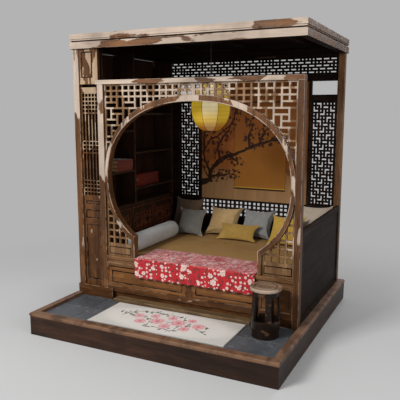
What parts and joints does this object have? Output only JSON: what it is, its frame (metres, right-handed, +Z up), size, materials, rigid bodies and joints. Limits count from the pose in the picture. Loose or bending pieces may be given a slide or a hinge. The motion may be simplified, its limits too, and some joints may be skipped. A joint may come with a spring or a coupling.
{
  "type": "alcove bed",
  "caption": "Roofed wooden alcove bed with a moon gate, lattice screens and under-bed drawers on a tiled platform, with mat, cushions, coverlet, swinging lantern, rug and stool.",
  "frame": {"origin": "middle of the platform's footprint, on the ground", "axes": "+Z up, the moon gate faces -Y, +X to the right as seen from the front"},
  "size_m": [2.2, 2.11, 2.536],
  "materials": {
    "pale_wood": "worn, waxed",
    "brown_wood": "satin",
    "dark_wood": "satin",
    "kerb_wood": "satin, worn edges",
    "slate": "honed",
    "rush_mat": "woven rush",
    "painted_board": "painted, matt",
    "scroll_paper": "matt",
    "lacquer": "lacquered",
    "book_cloth": "matt",
    "lantern_silk": "lit from inside",
    "black_iron": "blackened",
    "wool_rug": "wool pile",
    "red_cloth": "printed cotton",
    "bolster_cloth": "matt",
    "brown_cloth": "matt",
    "dark_grey_cloth": "matt",
    "tan_cloth": "matt",
    "grey_blue_cloth": "matt",
    "mustard_cloth": "matt",
    "beige_cloth": "matt"
  },
  "bodies": {
    "bed": {"kerb_front": "kerb_wood", "kerb_left": "kerb_wood", "kerb_right": "kerb_wood", "platform_deck": "dark_wood", "slate_floor": "slate", "post_front_left": "pale_wood", "post_back_left": "pale_wood", "post_back_right": "pale_wood", "roof_fascia": "pale_wood", "roof_slab": "pale_wood", "screen_plinth": "brown_wood", "side_screen": "brown_wood", "frieze_panel_left": "brown_wood", "gate_stile_left": "pale_wood", "gate_stile_right": "pale_wood", "gate_header": "pale_wood", "moon_ring": "pale_wood", "spandrel_left": "pale_wood", "spandrel_right": "pale_wood", "gate_corner_left": "pale_wood", "gate_corner_right": "pale_wood", "base_front_frame": "brown_wood", "bed_sill": "brown_wood", "step_board": "brown_wood", "drawer_carcass": "dark_wood", "bed_boards": "dark_wood", "sleeping_mat": "rush_mat", "side_panel_right": "dark_wood", "back_frame": "dark_wood", "back_lattice_left": "dark_wood", "back_lattice_right": "dark_wood", "back_frieze_lattice": "dark_wood", "back_panel": "painted_board", "wall_scroll": "scroll_paper", "shelf_foot": "brown_wood", "shelf_back": "brown_wood", "curio_shelf": "brown_wood", "book_stack": "book_cloth", "lacquer_box": "lacquer", "ceiling_hook": "black_iron", "stool_drum": "dark_wood", "stool_lid": "pale_wood", "rug": "wool_rug", "bolster": "bolster_cloth", "cushion_brown": "brown_cloth", "cushion_dark_grey": "dark_grey_cloth", "cushion_tan": "tan_cloth", "cushion_grey_blue": "grey_blue_cloth", "cushion_mustard": "mustard_cloth", "cushion_lumbar": "mustard_cloth", "cushion_beige": "beige_cloth", "coverlet_top": "red_cloth", "coverlet_flap_left": "red_cloth", "coverlet_flap_right": "red_cloth"},
    "drawer_left": {"drawer_left_front": "brown_wood", "drawer_left_box": "dark_wood"},
    "drawer_right": {"drawer_right_front": "brown_wood", "drawer_right_box": "dark_wood"},
    "lantern": {"lantern_hanger": "black_iron", "lantern_shade": "lantern_silk"}
  },
  "joints": [
    {"name": "drawer_left_slide", "type": "slide", "parent": "bed", "child": "drawer_left", "axis": [0, -1, 0], "range_m": [0, 0.42], "deforming": ["coverlet_flap_left"]},
    {"name": "drawer_right_slide", "type": "slide", "parent": "bed", "child": "drawer_right", "axis": [0, -1, 0], "range_m": [0, 0.42], "deforming": ["coverlet_flap_right"]},
    {"name": "lantern_swing", "type": "hinge", "parent": "bed", "child": "lantern", "pos_m": [0.109, -0.03, 2.4477], "axis": [0, 1, 0], "range_deg": [-15, 15]}
  ]
}
